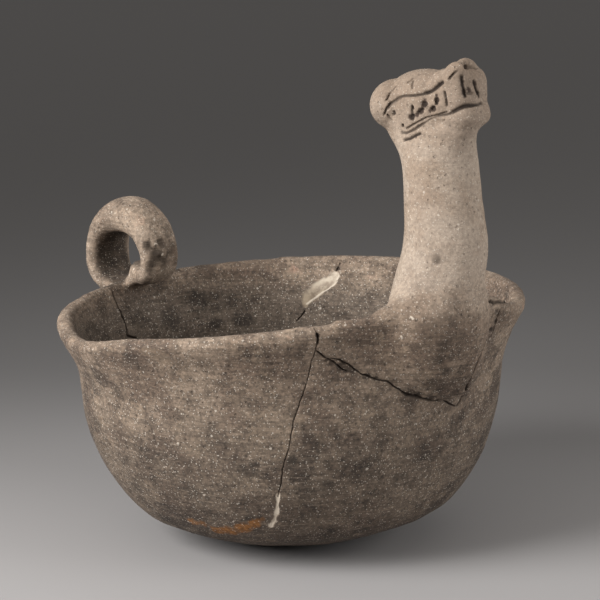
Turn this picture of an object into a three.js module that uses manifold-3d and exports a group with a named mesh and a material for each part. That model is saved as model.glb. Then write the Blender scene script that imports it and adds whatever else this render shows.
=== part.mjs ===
// A fired clay effigy bowl: a deep round-bottomed bowl with an animal's head on a tall neck at one side of
// its rim and a coiled tail at the other. The whole vessel is one piece of clay.
// Millimetres and degrees, +Z up. The origin is the middle of the small flat that the bowl rests on.
// +X points from the bowl's axis to the neck. A bearing is an angle round the bowl's axis, from +X towards +Y.

import * as THREE from "three";
import { mergeVertices } from "three/addons/utils/BufferGeometryUtils.js";
import Module from "manifold-3d";

const clayColour = 0x85766a;

// The bowl
const rimRadius = 97; // bowl axis to the crest of the rim
const rimHeight = 102; // resting flat to the crest, before the rim's rises and dips
const restRadius = 26; // the flat that the bowl stands on
const bellyRise = 2.4; // the round of the bottom is this much higher on the side of bellyBearing
const bellyBearing = 48;
const bellyFull = 8; // the height above the flat where that is so in full
const bellyEnd = 20; // and where it has died out
const wallThickness = 6.5;
const floorThickness = 8;
const lipThickness = 7.5; // the rim is a little thicker than the wall

// The rim's rises and dips
const rimLean = 5; // the rim is this much higher at leanBearing, and lower across from it
const leanBearing = 60;
const neckRise = 15; // the rim climbs to the neck
const neckRiseNear = 80; // over this many degrees on the side of lower bearings
const neckRiseFar = 36; // and over this many on the other side
const liftStart = 25; // the wall below this height is level, and above it follows the rim up and down
const sideDip = 3.4; // a sag in the rim
const sideDipBearing = 256;
const sideDipSpan = 26;
const sideRise = 4.5; // and a low rise between the sag and the neck
const sideRiseBearing = 294;
const sideRiseSpan = 48;

// The neck
const neckHeight = 80.5; // wall top to the head's own origin, which is level with its jaws
const neckRadius = 15.6; // at its slimmest
const neckInset = 5; // the neck's axis stands this far inside the rim's crest
const neckLean = 5; // how far the neck's top leans back over the bowl

// The neck's root, an apron of clay that runs down the outside of the wall
const rootDrop = 31; // how far it runs down
const rootWidth = 25; // half its width along the rim
const rootReach = 12; // half its thickness where it stands out most
const rootShift = 6; // its middle lies this far to the side of the neck's axis

// The head
const headLength = 44; // back of the head to the muzzle
const headTurn = 13; // the head looks this far to the side

// The tail, a strap of clay coiled in an upright plane that holds the bowl's axis
const tailBearing = 188;
const coilRadius = 16.5; // coil centre to the middle of the strap at its sides
const tailInset = 2; // the coil's centre stands this far inside the rim's crest
const tailThickness = 8.4;
const tailCrown = 16.5; // its thickness at the top of the coil
const tailWidth = 22;
const limbSpread = 4.4; // the strap is this much wider where it climbs on the outside
const tailSink = 5; // the coil is pressed this far into the rim
const tipWidth = 14.3; // the tip is narrower
const tipShift = 4; // and lies this far to one side of the coil's plane

// Incised lines
const grooveRadius = 0.75;
const grooveBite = 0.25; // how far the groove's middle line stands off the surface, into the clay

const sharedPoint = 1e-4; // points of one mesh closer than this are one point

const wasm = await Module();
wasm.setup();

const radians = THREE.MathUtils.degToRad;
const smooth = THREE.MathUtils.smoothstep;
const lerp = THREE.MathUtils.lerp;

// A closed three.js geometry as a solid that can be joined and cut.
function solidOf(geometry) {
  const bare = geometry.clone();
  bare.deleteAttribute("normal");
  bare.deleteAttribute("uv");
  const merged = mergeVertices(bare, sharedPoint);
  return new wasm.Manifold(
    new wasm.Mesh({
      numProp: 3,
      vertProperties: new Float32Array(merged.attributes.position.array),
      triVerts: new Uint32Array(merged.index.array),
    }),
  );
}

function geometryOf(solid) {
  const mesh = solid.getMesh();
  const geometry = new THREE.BufferGeometry();
  geometry.setAttribute("position", new THREE.BufferAttribute(mesh.vertProperties, mesh.numProp));
  geometry.setIndex(new THREE.BufferAttribute(mesh.triVerts, 1));
  geometry.computeVertexNormals();
  return geometry;
}

// Moves every vertex of a geometry to where place(vertex) puts it, as fingers press clay.
function mould(geometry, place) {
  const position = geometry.attributes.position;
  const vertex = new THREE.Vector3();
  for (let i = 0; i < position.count; i += 1) {
    place(vertex.fromBufferAttribute(position, i));
    position.setXYZ(i, vertex.x, vertex.y, vertex.z);
  }
  return geometry;
}

// The shorter way round from one bearing to another, from -180 to 180.
function turnBetween(from, to) {
  return THREE.MathUtils.euclideanModulo(to - from + 180, 360) - 180;
}

// 1 at no turn, falling smoothly to 0 at the span.
function swell(turn, span) {
  return Math.abs(turn) < span ? Math.cos(radians((90 * turn) / span)) ** 2 : 0;
}

function rimLift(bearing) {
  const toNeck = turnBetween(0, bearing);
  const rise = swell(toNeck, toNeck < 0 ? neckRiseNear : neckRiseFar);
  const dip = swell(turnBetween(sideDipBearing, bearing), sideDipSpan);
  const side = swell(turnBetween(sideRiseBearing, bearing), sideRiseSpan);
  const lean = Math.cos(radians(bearing - leanBearing));
  return rimLean * lean + neckRise * rise + sideRise * side - sideDip * dip;
}

// The bowl's outside, from the edge of its flat up to the lip, as shares of the rim's radius and height.
const outsideShares = [
  [0.52, 0.062],
  [0.72, 0.165],
  [0.865, 0.37],
  [0.93, 0.6],
  [0.95, 0.785],
];

function bowlOutside() {
  const lipOut = rimRadius + lipThickness / 2;
  const points = [new THREE.Vector2(restRadius, 0)];
  for (const [radius, height] of outsideShares) {
    points.push(new THREE.Vector2(radius * rimRadius, height * rimHeight));
  }
  points.push(new THREE.Vector2(lipOut, rimHeight - lipThickness / 2));
  return new THREE.SplineCurve(points);
}

// The floor thins to the wall between these shares of the way up the outside.
const floorShare = 0.1;
const wallShare = 0.5;

// The closed half section of the bowl: along the outside, over the lip and back down the inside.
function bowlProfile() {
  const outside = bowlOutside();
  const outsideSteps = 13;
  const lipSteps = 5;
  const profile = [new THREE.Vector2(0, 0)];
  const inside = [];
  for (let i = 0; i <= outsideSteps; i += 1) {
    const share = i / outsideSteps;
    const point = outside.getPointAt(share);
    const along = outside.getTangentAt(share);
    const thickness = lerp(floorThickness, wallThickness, smooth(share, floorShare, wallShare));
    const inward = new THREE.Vector2(-along.y, along.x).multiplyScalar(thickness);
    profile.push(point);
    inside.unshift(point.clone().add(inward));
  }
  const lipCentre = new THREE.Vector2(rimRadius, rimHeight - lipThickness / 2);
  for (let i = 1; i <= lipSteps; i += 1) {
    const turn = (Math.PI * i) / lipSteps;
    const around = new THREE.Vector2(Math.cos(turn), Math.sin(turn)).multiplyScalar(lipThickness / 2);
    profile.push(lipCentre.clone().add(around));
  }
  const underLip = inside.findIndex((point) => point.y < lipCentre.y - lipThickness / 2);
  profile.push(...inside.slice(underLip), new THREE.Vector2(0, floorThickness));
  return profile;
}

function bowl() {
  const segmentsAround = 54;
  const lathe = new THREE.LatheGeometry(bowlProfile(), segmentsAround);
  lathe.rotateX(Math.PI / 2);
  return solidOf(
    mould(lathe, (vertex) => {
      const bearing = THREE.MathUtils.radToDeg(Math.atan2(vertex.y, vertex.x));
      const belly = smooth(vertex.z, 0, bellyFull) * (1 - smooth(vertex.z, bellyFull, bellyEnd));
      const tilt = (1 + Math.cos(radians(bearing - bellyBearing))) / 2;
      vertex.z += rimLift(bearing) * smooth(vertex.z, liftStart, rimHeight) + bellyRise * tilt * belly;
    }),
  );
}

// A strand of clay through a run of stations, each with its middle and half its size in the two directions
// of its cross section: across, the same all along, and out, worked out from the way the strand runs there.
// endShare is the share of its length that each rounded end takes.
function strand({ stations, across, outFrom, endShare, steps, sides, squareness }) {
  const middles = new THREE.CatmullRomCurve3(stations.map((station) => station.middle));
  const sizes = new THREE.CatmullRomCurve3(
    stations.map((station) => new THREE.Vector3(station.across, station.out, 0)),
  );
  const round = new THREE.SphereGeometry(1, sides, steps);
  return solidOf(
    mould(round, (vertex) => {
      const share = Math.acos(THREE.MathUtils.clamp(vertex.y, -1, 1)) / Math.PI;
      const turn = Math.atan2(vertex.z, vertex.x);
      const size = sizes.getPoint(share);
      const out = outFrom(middles.getTangent(share));
      const toEnd = Math.min(share, 1 - share);
      const roundness = Math.sqrt(1 - (1 - Math.min(toEnd / endShare, 1)) ** 2);
      vertex.copy(middles.getPoint(share));
      vertex.addScaledVector(across, superCosine(turn, squareness) * size.x * roundness);
      vertex.addScaledVector(out, superSine(turn, squareness) * size.y * roundness);
    }),
  );
}

// A circle's cosine and sine drawn out towards a square as squareness goes up from 2.
function superCosine(turn, squareness) {
  return Math.sign(Math.cos(turn)) * Math.abs(Math.cos(turn)) ** (2 / squareness);
}

function superSine(turn, squareness) {
  return Math.sign(Math.sin(turn)) * Math.abs(Math.sin(turn)) ** (2 / squareness);
}

const wallTop = rimHeight + rimLift(0) - neckRise; // the rim's height at the neck without its rise

// The neck from its root on the wall up into the head: height above the wall's top, distance from the bowl's
// axis, and half its size out from the axis and along the rim. side is towards bearings under 0.
function neck() {
  const axis = rimRadius - neckInset;
  const top = axis - neckLean;
  const run = [
    { up: -rootDrop, from: rimRadius - 2, side: -0.3 * rootShift, out: 4, across: 0.4 * rootWidth },
    {
      up: -0.6 * rootDrop,
      from: rimRadius,
      side: 0.6 * rootShift,
      out: 0.65 * rootReach,
      across: 0.75 * rootWidth,
    },
    {
      up: -0.15 * rootDrop,
      from: rimRadius + 1,
      side: rootShift,
      out: rootReach,
      across: 0.88 * rootWidth,
    },
    { up: 0.3 * rootDrop, from: rimRadius - 2, side: rootShift, out: 1.3 * rootReach, across: rootWidth },
    { up: 0.6 * rootDrop, from: axis, side: 0.5 * rootShift, out: neckRadius + 2, across: neckRadius + 3 },
    { up: 0.4 * neckHeight, from: axis, side: 0, out: neckRadius + 1.5, across: neckRadius + 2 },
    { up: 0.65 * neckHeight, from: axis - 0.3 * neckLean, side: 0, out: neckRadius, across: neckRadius },
    { up: neckHeight - 12, from: axis - 0.8 * neckLean, side: 0, out: neckRadius, across: neckRadius },
    { up: neckHeight - 3.5, from: top - 3, side: 0, out: neckRadius + 5, across: neckRadius - 1.5 },
    { up: neckHeight + 4, from: top - 4, side: 0, out: neckRadius + 9.5, across: neckRadius - 4.5 },
    { up: neckHeight + 13, from: top - 3, side: 0, out: neckRadius + 3, across: neckRadius - 7 },
  ];
  const stations = run.map(({ up, from, side, out, across }) => ({
    middle: new THREE.Vector3(from, -side, wallTop + up),
    out,
    across,
  }));
  return strand({
    stations,
    across: new THREE.Vector3(0, 1, 0),
    outFrom: () => new THREE.Vector3(-1, 0, 0), // every section is level
    endShare: 0.12,
    steps: 28,
    sides: 24,
    squareness: 2,
  });
}

// A rounded lump of clay. at and size are in the head's own frame as shares of its length: forward, left and
// up. pitch tips its front end up. squareness is 2 for an egg and more for a block with rounded edges.
function lump({ at, size, pitch = 0, squareness = 2, rings = 11, segments = 14 }) {
  const egg = new THREE.SphereGeometry(1, segments, rings);
  mould(egg, (vertex) => {
    const rise = Math.asin(THREE.MathUtils.clamp(vertex.y, -1, 1));
    const turn = Math.atan2(vertex.z, vertex.x);
    const level = superCosine(rise, squareness);
    vertex.set(
      level * superCosine(turn, squareness) * size[0],
      -level * superSine(turn, squareness) * size[1],
      superSine(rise, squareness) * size[2],
    );
    vertex.multiplyScalar(headLength);
  });
  egg.rotateY(-radians(pitch));
  egg.translate(...at.map((share) => share * headLength));
  return solidOf(egg);
}

// The head's forms, as shares of its length.
const headForms = [
  { at: [-0.44, 0, 0.17], size: [0.23, 0.3, 0.23] }, // the lobe behind the skull
  { at: [-0.1, 0, 0.225], size: [0.4, 0.29, 0.28] }, // the domed skull
  { at: [-0.03, 0, 0.13], size: [0.46, 0.285, 0.2], pitch: 15, squareness: 2.6 }, // the jaws
  { at: [0.2, 0, 0.34], size: [0.18, 0.235, 0.205], pitch: 6, squareness: 4.5 }, // the muzzle
  { at: [0.26, 0, 0.41], size: [0.08, 0.22, 0.22], pitch: 8 }, // the crest of the nose
  { at: [0.3, 0, 0.13], size: [0.19, 0.25, 0.15], pitch: 18, squareness: 2.5 }, // the chin
];

// Lines on the side of the head, drawn on its upright middle plane as shares of its length: forward and up.
const sideLines = [
  [[-0.41, 0.1], [-0.35, 0.19], [-0.21, 0.26], [0, 0.31], [0.12, 0.36], [0.2, 0.44]], // the upper lip
  [[-0.38, -0.01], [-0.21, -0.06], [0, 0.02], [0.18, 0.12], [0.36, 0.21]], // the lower lip
  [[-0.21, -0.11], [-0.1, -0.08], [0, -0.03]], // a short stroke under the lip
  [[-0.1, 0.22], [-0.12, 0.14], [-0.12, 0.06]], // the teeth
  [[0.01, 0.25], [0, 0.2], [-0.03, 0.13]],
  [[0.13, 0.31], [0.15, 0.25], [0.15, 0.21]],
  [[0.22, 0.36], [0.24, 0.28], [0.25, 0.2]],
  [[-0.4, 0.22], [-0.27, 0.37], [-0.09, 0.45], [-0.11, 0.35]], // the corner of the eye
];

// Lines on the front of the muzzle, as shares of the head's length: left and up.
const frontLines = [
  [[-0.14, 0.48], [-0.13, 0.37], [-0.11, 0.27]],
  [[0, 0.46], [0.04, 0.37], [0.11, 0.25]],
];

// Cuts one line into the head where rays from outside meet its skin. start(across, up) is where a ray starts
// for a point of the line.
function groove(skin, line, start, towards) {
  const caster = new THREE.Raycaster();
  const drawn = new THREE.SplineCurve(line.map(([across, up]) => new THREE.Vector2(across, up)));
  const points = [];
  for (const { x, y } of drawn.getPoints(3 * (line.length - 1))) {
    caster.set(start(x * headLength, y * headLength), towards);
    const [hit] = caster.intersectObject(skin);
    if (hit) {
      points.push(hit.point.addScaledVector(towards, grooveBite));
    }
  }
  const section = new THREE.Shape();
  section.absarc(0, 0, grooveRadius, 0, 2 * Math.PI, true);
  const cutter = new THREE.ExtrudeGeometry(section, {
    steps: points.length,
    curveSegments: 3,
    extrudePath: new THREE.CatmullRomCurve3(points),
  });
  return solidOf(cutter);
}

function headGrooves(solid) {
  const skin = new THREE.Mesh(geometryOf(solid));
  const far = 2 * headLength;
  const cutters = [];
  for (const side of [-1, 1]) {
    const start = (forward, up) => new THREE.Vector3(forward, side * far, up);
    for (const line of sideLines) {
      cutters.push(groove(skin, line, start, new THREE.Vector3(0, -side, 0)));
    }
  }
  const start = (left, up) => new THREE.Vector3(far, left, up);
  for (const line of frontLines) {
    cutters.push(groove(skin, line, start, new THREE.Vector3(-1, 0, 0)));
  }
  return cutters;
}

// The head in its own frame: +X forward, +Z up, with its origin on the neck's axis.
function head() {
  let forms = lump(headForms[0]);
  for (const form of headForms.slice(1)) {
    forms = forms.add(lump(form));
  }
  for (const cutter of headGrooves(forms)) {
    forms = forms.subtract(cutter);
  }
  const placed = geometryOf(forms);
  placed.rotateZ(radians(headTurn));
  placed.translate(rimRadius - neckInset - neckLean, 0, wallTop + neckHeight);
  return solidOf(placed);
}

// The tail's run as shares of the coil's radius from the coil's centre: away from the bowl and up. It comes up
// out of the wall, leaves the rim on its outside, arches over to the inner side, turns under and rests its tip
// on its own root. spread is where the strap is wider, and tuck where it narrows to its tip.
const tailRun = [
  { away: -0.12, up: -1.62, thickness: 0.7 * tailThickness },
  { away: 0.16, up: -1.2, thickness: tailThickness },
  { away: 0.64, up: -1.06, thickness: tailThickness, spread: 0.5 },
  { away: 1.04, up: -0.68, thickness: tailThickness, spread: 1 },
  { away: 1.06, up: 0, thickness: tailThickness, spread: 1 },
  { away: 0.75, up: 0.6, thickness: (tailThickness + tailCrown) / 2, spread: 0.4 },
  { away: 0.02, up: 0.89, thickness: tailCrown },
  { away: -0.72, up: 0.52, thickness: (tailThickness + tailCrown) / 2 },
  { away: -1.05, up: -0.18, thickness: 1.1 * tailThickness },
  { away: -0.92, up: -0.66, thickness: tailThickness },
  { away: -0.42, up: -0.74, thickness: 1.3 * tailThickness, tuck: 0.5 },
  { away: 0.14, up: -0.68, thickness: 1.45 * tailThickness, tuck: 1 },
];

function tail() {
  const bearing = radians(tailBearing);
  const outward = new THREE.Vector3(Math.cos(bearing), Math.sin(bearing), 0);
  const across = new THREE.Vector3(Math.sin(bearing), -Math.cos(bearing), 0);
  const height = rimHeight + rimLift(tailBearing) - tailSink + coilRadius + tailThickness / 2;
  const centre = outward.clone().multiplyScalar(rimRadius - tailInset);
  centre.z = height;
  const stations = tailRun.map(({ away, up, thickness, spread = 0, tuck = 0 }) => {
    const width = lerp(tailWidth, tipWidth, tuck) + limbSpread * spread;
    const middle = centre.clone().addScaledVector(outward, away * coilRadius);
    middle.z += up * coilRadius;
    middle.addScaledVector(across, tipShift * tuck + (limbSpread * spread) / 2);
    return { middle, across: width / 2, out: thickness / 2 };
  });
  return strand({
    stations,
    across,
    outFrom: (along) => along.cross(across),
    endShare: 0.05,
    steps: 34,
    sides: 14,
    squareness: 2.5,
  });
}

const clay = new THREE.MeshStandardMaterial({ color: clayColour, roughness: 0.9, metalness: 0 });
const vessel = new THREE.Mesh(geometryOf(bowl().add(neck()).add(tail()).add(head())), clay);
vessel.name = "effigy_bowl";

const effigyBowl = new THREE.Group();
effigyBowl.add(vessel);

export default effigyBowl;
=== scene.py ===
"""A fired clay effigy bowl, photographed from a little above its rim: one vessel of shell-tempered
earthenware with an animal's head on a tall neck and a coiled tail, mended from its sherds. Metres, +Z up."""
import math

import bmesh
import bpy
import numpy as np
from mathutils import Matrix, Vector, noise
from mathutils.bvhtree import BVHTree


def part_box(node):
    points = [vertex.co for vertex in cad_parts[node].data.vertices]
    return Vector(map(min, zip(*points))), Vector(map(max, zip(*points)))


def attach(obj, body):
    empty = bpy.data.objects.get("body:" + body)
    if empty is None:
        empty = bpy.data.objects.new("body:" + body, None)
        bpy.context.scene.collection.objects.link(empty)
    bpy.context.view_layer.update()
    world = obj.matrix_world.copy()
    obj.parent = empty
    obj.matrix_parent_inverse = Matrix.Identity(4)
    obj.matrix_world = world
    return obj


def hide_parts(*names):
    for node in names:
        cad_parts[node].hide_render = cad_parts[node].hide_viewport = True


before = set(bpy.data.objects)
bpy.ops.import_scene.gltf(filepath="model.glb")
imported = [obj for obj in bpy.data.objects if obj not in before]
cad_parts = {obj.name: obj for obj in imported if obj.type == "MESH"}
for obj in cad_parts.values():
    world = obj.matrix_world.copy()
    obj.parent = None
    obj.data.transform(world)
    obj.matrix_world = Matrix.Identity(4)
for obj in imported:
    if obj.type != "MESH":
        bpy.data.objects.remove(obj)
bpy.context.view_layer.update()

# The view
# A long lens about a metre from the bowl, a little above its rim, so that the far rim is hardly smaller than
# the near one. Marks on the clay are placed by the pixel of the photograph where this camera sees them.
VESSEL_LOW, VESSEL_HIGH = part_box("effigy_bowl")
PHOTO_PIXELS = 600
LENS = 0.135
SENSOR = 0.036
VIEW_AZIMUTH = math.radians(48)
VIEW_ELEVATION = math.radians(11.5)
VIEW_DISTANCE = 0.96975
VIEW_CENTRE = Vector((0.00234, 0.00311, 0.10169))

to_camera = Vector(
    (
        math.sin(VIEW_AZIMUTH) * math.cos(VIEW_ELEVATION),
        -math.cos(VIEW_AZIMUTH) * math.cos(VIEW_ELEVATION),
        math.sin(VIEW_ELEVATION),
    )
)
view_right = Vector((math.cos(VIEW_AZIMUTH), math.sin(VIEW_AZIMUTH), 0))
view_front = Vector((math.sin(VIEW_AZIMUTH), -math.cos(VIEW_AZIMUTH), 0))
lens = bpy.data.cameras.new("long_lens")
lens.lens = LENS * 1000
lens.sensor_width = SENSOR * 1000
lens.clip_start = 0.05
lens.clip_end = 20
camera = bpy.data.objects.new("camera", lens)
camera.location = VIEW_CENTRE + VIEW_DISTANCE * to_camera
camera.rotation_euler = to_camera.to_track_quat("Z", "Y").to_euler()
bpy.context.scene.collection.objects.link(camera)
bpy.context.scene.camera = camera


def photo_ray(x, y):
    """Where the camera stands, and the way in which it sees a pixel of the photograph."""
    reach = LENS / SENSOR * PHOTO_PIXELS
    seen = Vector((x - PHOTO_PIXELS / 2, PHOTO_PIXELS / 2 - y, -reach))
    return camera.location.copy(), (camera.rotation_euler.to_matrix() @ seen).normalized()


# The head
# Modelled in soft clay from a few pressed lumps: skull, jaws, a squared muzzle with a turned-up nose, and a
# chin. Sizes are shares of its length, forward, left and up from a point on the neck's axis.
HEAD_LENGTH = 0.044
HEAD_TURN = math.radians(13)
HEAD_BACK = 0.0237
HEAD_DROP = 0.0276
HEAD_FORMS = [
    {"at": (-0.43, 0, 0.17), "size": (0.235, 0.29, 0.235)},
    {"at": (-0.1, 0, 0.225), "size": (0.41, 0.285, 0.285)},
    {"at": (-0.1, 0, 0.06), "size": (0.4, 0.285, 0.24), "pitch": 10},
    {"at": (-0.03, 0, 0.16), "size": (0.47, 0.283, 0.19), "pitch": 15, "squareness": 2.5},
    {"at": (0.22, 0, 0.335), "size": (0.2, 0.25, 0.205), "pitch": 3, "squareness": 3.8},
    {"at": (0.25, 0, 0.41), "size": (0.085, 0.25, 0.225), "pitch": -8},
    {"at": (0.265, -0.17, 0.485), "size": (0.1, 0.085, 0.14), "pitch": -30},
    {"at": (0.25, 0.2, 0.42), "size": (0.07, 0.06, 0.13), "pitch": -30},
    {"at": (0.27, 0, 0.12), "size": (0.2, 0.25, 0.15), "pitch": 18, "squareness": 3},
]
FINE_GRAIN = 0.0006

head_place = (
    Matrix.Translation((VESSEL_HIGH.x - HEAD_BACK, 0, VESSEL_HIGH.z - HEAD_DROP))
    @ Matrix.Rotation(HEAD_TURN, 4, "Z")
    @ Matrix.Scale(HEAD_LENGTH, 4)
)


def drawn_out(cosine, squareness):
    """A circle's cosine or sine, drawn out towards a square as squareness goes up from 2."""
    return math.copysign(abs(cosine) ** (2 / squareness), cosine)


def press_lump(clay, at, size, pitch=0, squareness=2):
    """Adds one rounded lump to the clay: an egg, or a block with rounded edges."""
    made = bmesh.ops.create_uvsphere(clay, u_segments=40, v_segments=28, radius=1)
    tip_up = Matrix.Rotation(-math.radians(pitch), 3, "Y")
    for vertex in made["verts"]:
        rise = math.asin(max(-1, min(1, vertex.co.z)))
        turn = math.atan2(vertex.co.y, vertex.co.x)
        level = drawn_out(math.cos(rise), squareness)
        lump = Vector(
            (
                level * drawn_out(math.cos(turn), squareness) * size[0],
                level * drawn_out(math.sin(turn), squareness) * size[1],
                drawn_out(math.sin(rise), squareness) * size[2],
            )
        )
        vertex.co = head_place @ (tip_up @ lump + Vector(at))


def skin_of(mesh, grain):
    """One closed skin round all that a mesh holds, in even faces of about the grain's size."""
    lump = bpy.data.objects.new("lump", mesh)
    bpy.context.scene.collection.objects.link(lump)
    skin = lump.modifiers.new("skin", "REMESH")
    skin.mode = "VOXEL"
    skin.voxel_size = grain
    depsgraph = bpy.context.evaluated_depsgraph_get()
    closed = bpy.data.meshes.new_from_object(lump.evaluated_get(depsgraph), depsgraph=depsgraph)
    bpy.data.objects.remove(lump)
    return closed


whole = bmesh.new()
whole.from_mesh(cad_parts["effigy_bowl"].data)
bmesh.ops.remove_doubles(whole, verts=whole.verts, dist=1e-6)
for form in HEAD_FORMS:
    press_lump(whole, **form)
pressed = bpy.data.meshes.new("pressed")
whole.to_mesh(pressed)
pressed_tree = BVHTree.FromBMesh(whole)
whole.free()

# The fine head is pressed from the same lumps alone, on the neck under the jaws.
NECK_LOW = 0.150
NECK_TOP = 0.1855
neck = bmesh.new()
neck.from_mesh(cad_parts["effigy_bowl"].data)
bmesh.ops.remove_doubles(neck, verts=neck.verts, dist=1e-6)
for level, up in ((NECK_LOW, -1), (NECK_TOP, 1)):
    everything = neck.verts[:] + neck.edges[:] + neck.faces[:]
    cut = bmesh.ops.bisect_plane(
        neck, geom=everything, plane_co=(0, 0, level), plane_no=(0, 0, up), clear_outer=True
    )
    rim = [part for part in cut["geom_cut"] if isinstance(part, bmesh.types.BMEdge)]
    bmesh.ops.holes_fill(neck, edges=rim, sides=0)
for form in HEAD_FORMS:
    press_lump(neck, **form)
upper = bpy.data.meshes.new("upper")
neck.to_mesh(upper)
neck.free()


# The skin of the vessel
# One continuous skin of clay, wiped smooth by hand while wet. It is closed round bowl, neck, head and tail in
# even faces, and cut finer where the head, the tail, the lip and the cracks need it.
GRAIN = 0.0025


def places_of(mesh):
    """A mesh's vertices as an array, one row each."""
    flat = np.empty(len(mesh.vertices) * 3)
    mesh.vertices.foreach_get("co", flat)
    return flat.reshape(-1, 3)


def edges_of(mesh):
    flat = np.empty(len(mesh.edges) * 2, dtype=np.int64)
    mesh.edges.foreach_get("vertices", flat)
    return flat.reshape(-1, 2)


def smooth_step(low, high, value):
    """0 up to low, 1 from high on, and a soft rise between them."""
    share = np.clip((value - low) / (high - low), 0, 1)
    return share * share * (3 - 2 * share)


def wiped(places, edges, strength, strokes, back=0):
    """Wipes the clay smooth: each vertex moves towards the middle of its neighbours, by its own strength.
    After each stroke it goes back by a share of the stroke, so that thin parts keep their size."""
    places = places.copy()
    a, b = edges[:, 0], edges[:, 1]
    count = len(places)
    neighbours = np.bincount(a, minlength=count) + np.bincount(b, minlength=count)
    for stroke in range(strokes * (2 if back else 1)):
        middle = np.empty_like(places)
        for axis in range(3):
            total = np.bincount(a, places[b, axis], count) + np.bincount(b, places[a, axis], count)
            middle[:, axis] = total / np.maximum(neighbours, 1)
        share = -back if back and stroke % 2 else 1
        places += share * strength[:, None] * (middle - places)
    return places


def normals_of(mesh):
    flat = np.empty(len(mesh.vertices) * 3)
    mesh.vertices.foreach_get("normal", flat)
    return flat.reshape(-1, 3)


def write_places(mesh, places):
    mesh.vertices.foreach_set("co", places.ravel())
    mesh.update()


clay_mesh = skin_of(pressed, GRAIN)
clay_mesh.name = "shell_tempered_clay"
places = places_of(clay_mesh)
edges = edges_of(clay_mesh)
x, y, z = places.T
radius = np.hypot(x, y)
bearing = np.degrees(np.arctan2(y, x))
on_tail = smooth_step(-0.068, -0.074, x) * smooth_step(0.088, 0.092, z)
on_head = smooth_step(0.164, 0.172, z)
by_neck = smooth_step(-66, -44, bearing) * (1 - smooth_step(30, 45, bearing)) * smooth_step(0.03, 0.04, x)
root = by_neck * smooth_step(0.045, 0.060, z) * (1 - smooth_step(0.135, 0.155, z))

# A stroke of the hand moves the clay half way to the middle of what is round it.
HALF_WAY = 0.5
WIPE_BACK = 1.03
for index in np.flatnonzero(on_head < 1):
    near = pressed_tree.find_nearest(places[index])[0]
    places[index] += (1 - on_head[index]) * (np.array(near) - places[index])
places = wiped(places, edges, HALF_WAY * (1 - np.maximum(0.5 * on_tail, on_head)), 60, WIPE_BACK)
write_places(clay_mesh, places)

# Clay is pressed into the hollow between the neck's root and the rim, and the ridges stay.
pressed_in = wiped(places, edges, HALF_WAY * root, 160) - places
normals = normals_of(clay_mesh)
outward = np.maximum((pressed_in * normals).sum(1), 0)
places = places + outward[:, None] * normals
beside_root = smooth_step(-36, -28, bearing) * (1 - smooth_step(-5, 2, bearing))
beside_root *= smooth_step(0.088, 0.092, radius)
beside_root *= smooth_step(0.048, 0.058, z) * (1 - smooth_step(0.100, 0.112, z))
places = wiped(places, edges, HALF_WAY * beside_root, 60)
places = wiped(places, edges, HALF_WAY * root, 12, WIPE_BACK)
places = wiped(places, edges, np.full(len(places), 0.4), 3, WIPE_BACK)
write_places(clay_mesh, places)

clay = bmesh.new()
clay.from_mesh(clay_mesh)
wall_tree = BVHTree.FromBMesh(clay)


def on_clay(x, y):
    """The point of the clay that the camera sees at a pixel of the photograph."""
    hit = wall_tree.ray_cast(*photo_ray(x, y))[0]
    if hit is None:
        raise ValueError(f"the pixel ({x}, {y}) doesn't show the clay")
    return np.array(hit)


def drawn(pixels, step=3, wander=0, seed=0):
    """A line on the clay through pixels of the photograph, which strays by up to about wander pixels."""
    line = []
    pixels = [Vector(pixel) for pixel in pixels]
    travelled = 0
    for start, end in zip(pixels, pixels[1:]):
        along = end - start
        pieces = max(1, round(along.length / step))
        aside = Vector((-along.y, along.x)).normalized()
        for piece in range(pieces):
            share = piece / pieces
            way = travelled + share * along.length
            coarse = noise.noise((way / 7, seed, 0))
            fine = noise.noise((way / 2, seed, 9))
            line.append(start + share * along + wander * (coarse + 0.4 * fine) * aside)
        travelled += along.length
    line.append(pixels[-1])
    return np.array([on_clay(*pixel) for pixel in line])


def nearest_on(line, places):
    """How far each place is from a line, and the share of the line's length at which it is nearest."""
    steps = np.linalg.norm(np.diff(line, axis=0), axis=1)
    marks = np.concatenate([[0], np.cumsum(steps)]) / steps.sum()
    far = np.full(len(places), np.inf)
    share = np.zeros(len(places))
    for i, (start, end) in enumerate(zip(line, line[1:])):
        along = end - start
        place = np.clip((places - start) @ along / max(along @ along, 1e-18), 0, 1)
        distance = np.linalg.norm(places - start - place[:, None] * along, axis=1)
        closer = distance < far
        far[closer] = distance[closer]
        share[closer] = marks[i] + place[closer] * (marks[i + 1] - marks[i])
    return far, share


def close_to(line, places, reach):
    """The numbers of the places in the box round a line."""
    return np.flatnonzero(((places > line.min(0) - reach) & (places < line.max(0) + reach)).all(1))


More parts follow.
